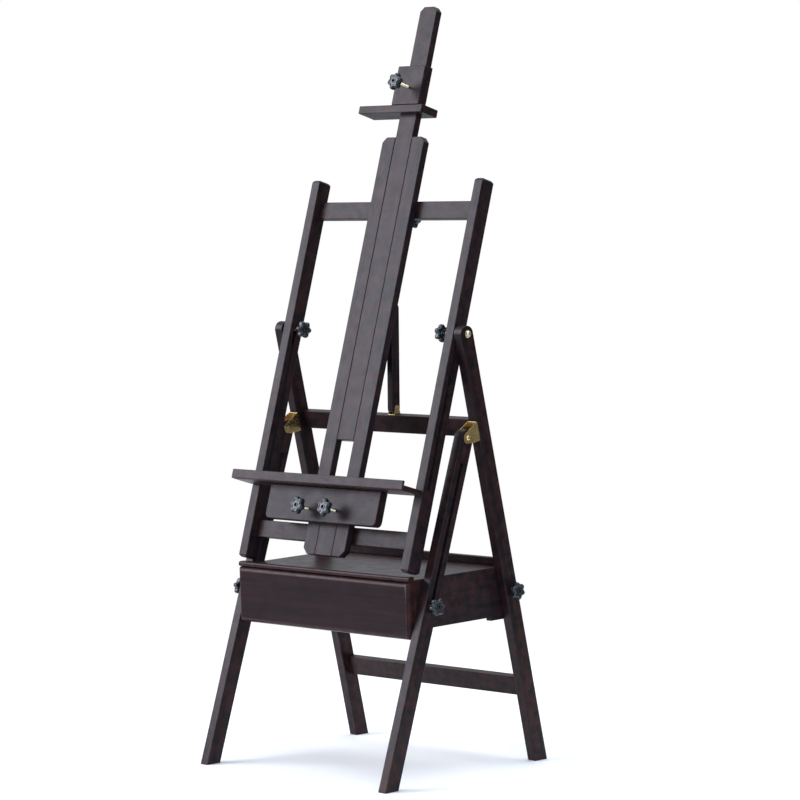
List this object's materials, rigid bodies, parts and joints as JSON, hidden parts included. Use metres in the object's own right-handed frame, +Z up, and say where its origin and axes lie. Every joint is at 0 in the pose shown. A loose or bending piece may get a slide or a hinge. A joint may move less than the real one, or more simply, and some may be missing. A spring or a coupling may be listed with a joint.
{
  "type": "studio easel with drawer",
  "caption": "Wooden artist's easel: folding leg frame, tilting mast with sliding post and clamp, canvas tray and a drawer between the legs.",
  "frame": {"origin": "centre of the bounding box at floor height", "axes": "+Z up, -Y towards the painter (the side the canvas faces), +X to the painter's right"},
  "size_m": [0.6604, 0.5348, 1.7208],
  "materials": {
    "walnut": "dark walnut stain, satin lacquer",
    "drawer_wood": "reddish dark stain, satin lacquer",
    "inside_wood": "unstained, sanded",
    "brass": "polished",
    "bolt_steel": "yellow zinc plating",
    "knob_plastic": "black, moulded"
  },
  "bodies": {
    "rear_frame": {"rear_leg_right": "walnut", "rear_leg_left": "walnut", "rear_crossbar_upper": "walnut", "rear_crossbar_lower": "walnut", "hinge_bracket_right": "brass", "hinge_bracket_left": "brass", "strut_bracket": "brass", "case_side_right": "walnut", "case_side_left": "walnut", "case_top": "walnut", "case_back": "walnut", "case_bottom": "inside_wood", "case_back_rail": "walnut", "case_moulding": "drawer_wood", "case_rear_right_bolt": "bolt_steel", "case_rear_left_bolt": "bolt_steel"},
    "front_leg_right": {"front_leg_right": "walnut"},
    "front_leg_left": {"front_leg_left": "walnut"},
    "case_front_bolt_right": {"case_front_right_bolt": "bolt_steel"},
    "case_front_bolt_left": {"case_front_left_bolt": "bolt_steel"},
    "case_front_knob_right": {"case_front_right_knob": "knob_plastic"},
    "case_front_knob_left": {"case_front_left_knob": "knob_plastic"},
    "case_rear_knob_right": {"case_rear_right_knob": "knob_plastic"},
    "case_rear_knob_left": {"case_rear_left_knob": "knob_plastic"},
    "apex_bolts": {"apex_bolt_right": "bolt_steel", "apex_bolt_left": "bolt_steel"},
    "apex_knob_right": {"apex_knob_right": "knob_plastic"},
    "apex_knob_left": {"apex_knob_left": "knob_plastic"},
    "easel_frame": {"stile_right": "walnut", "stile_left": "walnut", "frame_crossbar_top": "walnut", "frame_crossbar_bottom": "walnut", "mast_rail_right": "walnut", "mast_rail_left": "walnut", "mast_foot_block": "walnut", "strut_guide_rail": "walnut"},
    "centre_post": {"centre_post": "walnut"},
    "canvas_clamp": {"clamp_block": "walnut", "clamp_plate": "walnut"},
    "clamp_screw": {"clamp_bolt": "bolt_steel", "clamp_knob": "knob_plastic"},
    "tray": {"tray_shelf": "walnut", "tray_lip": "walnut", "tray_apron": "walnut", "tray_runner": "walnut", "tray_right_bolt": "bolt_steel", "tray_left_bolt": "bolt_steel"},
    "tray_knob_right": {"tray_right_knob": "knob_plastic"},
    "tray_knob_left": {"tray_left_knob": "knob_plastic"},
    "post_lock": {"post_lock_bolt": "bolt_steel", "post_lock_knob": "knob_plastic"},
    "drawer": {"drawer_front": "drawer_wood", "drawer_side_right": "inside_wood", "drawer_side_left": "inside_wood", "drawer_back": "inside_wood", "drawer_floor": "inside_wood"},
    "back_strut": {"back_strut": "walnut"},
    "strut_bolt": {"strut_bolt": "bolt_steel"},
    "strut_knob": {"strut_knob": "knob_plastic"}
  },
  "joints": [
    {"name": "front_leg_fold", "type": "hinge", "parent": "rear_frame", "child": "front_leg_right", "pos_m": [0.2925, 0.02124, 0.75409], "axis": [1, 0, 0], "range_deg": [-4, 31]},
    {"name": "front_leg_fold_left", "type": "hinge", "parent": "rear_frame", "child": "front_leg_left", "pos_m": [-0.2925, 0.02124, 0.75409], "axis": [1, 0, 0], "range_deg": [-4, 31]},
    {"name": "case_bolt_slide", "type": "slide", "parent": "front_leg_right", "child": "case_front_bolt_right", "axis": [0, 0.3361, 0.9418], "range_m": [0, 0.3]},
    {"name": "case_bolt_slide_left", "type": "slide", "parent": "front_leg_left", "child": "case_front_bolt_left", "axis": [0, 0.3361, 0.9418], "range_m": [0, 0.3]},
    {"name": "case_front_knob_turn_right", "type": "hinge", "parent": "case_front_bolt_right", "child": "case_front_knob_right", "pos_m": [0.317, -0.10783, 0.39243], "axis": [1, 0, 0], "continuous": true},
    {"name": "case_front_knob_turn_left", "type": "hinge", "parent": "case_front_bolt_left", "child": "case_front_knob_left", "pos_m": [-0.317, -0.10783, 0.39243], "axis": [-1, 0, 0], "continuous": true},
    {"name": "case_rear_knob_turn_right", "type": "hinge", "parent": "rear_frame", "child": "case_rear_knob_right", "pos_m": [0.317, 0.14903, 0.39856], "axis": [1, 0, 0], "continuous": true},
    {"name": "case_rear_knob_turn_left", "type": "hinge", "parent": "rear_frame", "child": "case_rear_knob_left", "pos_m": [-0.317, 0.14903, 0.39856], "axis": [-1, 0, 0], "continuous": true},
    {"name": "frame_tilt", "type": "hinge", "parent": "rear_frame", "child": "apex_bolts", "pos_m": [0, 0.03052, 0.9847], "axis": [-1, 0, 0], "range_deg": [-1, 20]},
    {"name": "frame_raise", "type": "slide", "parent": "apex_bolts", "child": "easel_frame", "axis": [0, 0.3064, 0.9519], "range_m": [0, 0.34]},
    {"name": "apex_knob_turn_right", "type": "hinge", "parent": "apex_bolts", "child": "apex_knob_right", "pos_m": [0.2261, 0.03052, 0.9847], "axis": [-1, 0, 0], "continuous": true},
    {"name": "apex_knob_turn_left", "type": "hinge", "parent": "apex_bolts", "child": "apex_knob_left", "pos_m": [-0.2261, 0.03052, 0.9847], "axis": [1, 0, 0], "continuous": true},
    {"name": "post_raise", "type": "slide", "parent": "easel_frame", "child": "centre_post", "axis": [0, 0.3064, 0.9519], "range_m": [0, 0.5]},
    {"name": "clamp_slide", "type": "slide", "parent": "centre_post", "child": "canvas_clamp", "axis": [0, 0.3064, 0.9519], "range_m": [-0.03, 0.13]},
    {"name": "clamp_screw_turn", "type": "hinge", "parent": "canvas_clamp", "child": "clamp_screw", "pos_m": [0, 0.13851, 1.54874], "axis": [0, -0.9519, 0.3064], "continuous": true},
    {"name": "tray_slide", "type": "slide", "parent": "easel_frame", "child": "tray", "axis": [0, 0.3064, 0.9519], "range_m": [-0.07, 0.3]},
    {"name": "tray_knob_turn_right", "type": "hinge", "parent": "tray", "child": "tray_knob_right", "pos_m": [0.044, -0.17012, 0.60281], "axis": [0, -0.9519, 0.3064], "continuous": true},
    {"name": "tray_knob_turn_left", "type": "hinge", "parent": "tray", "child": "tray_knob_left", "pos_m": [-0.044, -0.17012, 0.60281], "axis": [0, -0.9519, 0.3064], "continuous": true},
    {"name": "post_lock_turn", "type": "hinge", "parent": "easel_frame", "child": "post_lock", "pos_m": [0.016, 0.15506, 1.23456], "axis": [0, 0.9519, -0.3064], "continuous": true},
    {"name": "drawer_slide", "type": "slide", "parent": "rear_frame", "child": "drawer", "axis": [0, -1, 0], "range_m": [0, 0.2]},
    {"name": "strut_swing", "type": "hinge", "parent": "rear_frame", "child": "back_strut", "pos_m": [0.019, 0.07502, 0.80648], "axis": [-1, 0, 0], "range_deg": [-0.6, 8]},
    {"name": "strut_bolt_slide", "type": "slide", "parent": "easel_frame", "child": "strut_bolt", "axis": [0, 0.3064, 0.9519], "range_m": [-0.11, 0.16]},
    {"name": "strut_knob_turn", "type": "hinge", "parent": "strut_bolt", "child": "strut_knob", "pos_m": [-0.021, 0.08219, 1.03425], "axis": [-1, 0, 0], "continuous": true}
  ],
  "couplings": [
    {"joint": "front_leg_fold_left", "follows": "front_leg_fold", "ratio": 1},
    {"joint": "case_bolt_slide_left", "follows": "case_bolt_slide", "ratio": 1},
    {"joint": "strut_swing", "follows": "frame_tilt", "ratio": 0.33},
    {"joint": "strut_bolt_slide", "follows": "frame_tilt", "m_per_rad": 0.0665}
  ]
}
